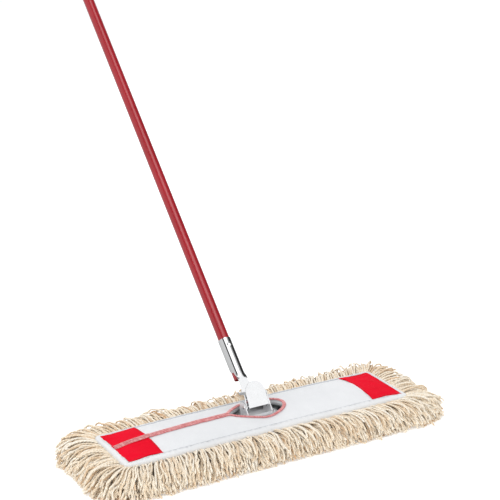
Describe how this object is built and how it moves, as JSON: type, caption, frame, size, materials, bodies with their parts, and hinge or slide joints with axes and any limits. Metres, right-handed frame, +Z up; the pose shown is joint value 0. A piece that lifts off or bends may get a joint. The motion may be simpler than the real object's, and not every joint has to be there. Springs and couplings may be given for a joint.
{
  "type": "flat dust mop",
  "caption": "Long cotton dust mop: fringed pad under a canvas cover, wire frame, clip-on swivel that folds and swings, and a long painted tube handle with a hanging eye.",
  "frame": {"origin": "on the floor, under the middle of the cotton head", "axes": "+Z up, X along the head's length with the cover's slit on the -X side, and the handle leans back towards +Y"},
  "size_m": [0.7386, 1.2195, 1.1501],
  "materials": {
    "cotton_yarn": "matt",
    "white_canvas": "matt",
    "red_canvas": "matt",
    "red_thread": "matt",
    "chrome": "polished",
    "spring_steel": "satin",
    "red_paint": "gloss",
    "black_plastic": "matt"
  },
  "bodies": {
    "head": {"yarn_pad": "cotton_yarn", "fringe_front": "cotton_yarn", "fringe_back": "cotton_yarn", "fringe_left": "cotton_yarn", "fringe_right": "cotton_yarn", "backing_canvas": "white_canvas", "top_cover": "white_canvas", "patch_right": "red_canvas", "patch_left_front": "red_canvas", "patch_left_back": "red_canvas", "hem_binding": "white_canvas", "slot_edging": "red_thread", "frame_wire_left": "spring_steel", "frame_wire_right": "spring_steel", "frame_saddle_left": "chrome", "frame_saddle_right": "chrome", "clamp_rivet_left_1": "chrome", "clamp_rivet_left_2": "chrome", "clamp_rivet_right_1": "chrome", "clamp_rivet_right_2": "chrome", "base_bracket": "chrome", "hinge_pin": "chrome", "push_nut": "chrome"},
    "yoke": {"swivel_yoke": "chrome", "release_pin": "chrome", "release_spring": "spring_steel", "swing_rivet": "chrome", "friction_washer": "spring_steel", "back_washer": "spring_steel"},
    "release": {"release_plate": "chrome"},
    "handle": {"ferrule": "chrome", "handle_tube": "red_paint", "ferrule_bolt": "chrome", "ferrule_washer": "chrome", "ferrule_nut": "chrome", "handle_cap": "black_plastic"}
  },
  "joints": [
    {"name": "fold", "type": "hinge", "parent": "head", "child": "yoke", "pos_m": [0, 0, 0.067], "axis": [-1, 0, 0], "range_deg": [-106, 17.5]},
    {"name": "swing", "type": "hinge", "parent": "yoke", "child": "handle", "pos_m": [0, 0.03286, 0.08518], "axis": [0, 0.7133, -0.7009], "range_deg": [-80, 80]},
    {"name": "thumb_release", "type": "hinge", "parent": "yoke", "child": "release", "pos_m": [0, 0.00483, 0.08048], "axis": [-1, 0, 0], "range_deg": [0, 12], "stiffness_Nm_per_rad": 1.5, "springref_deg": -8.59, "deforming": ["release_spring"]}
  ]
}
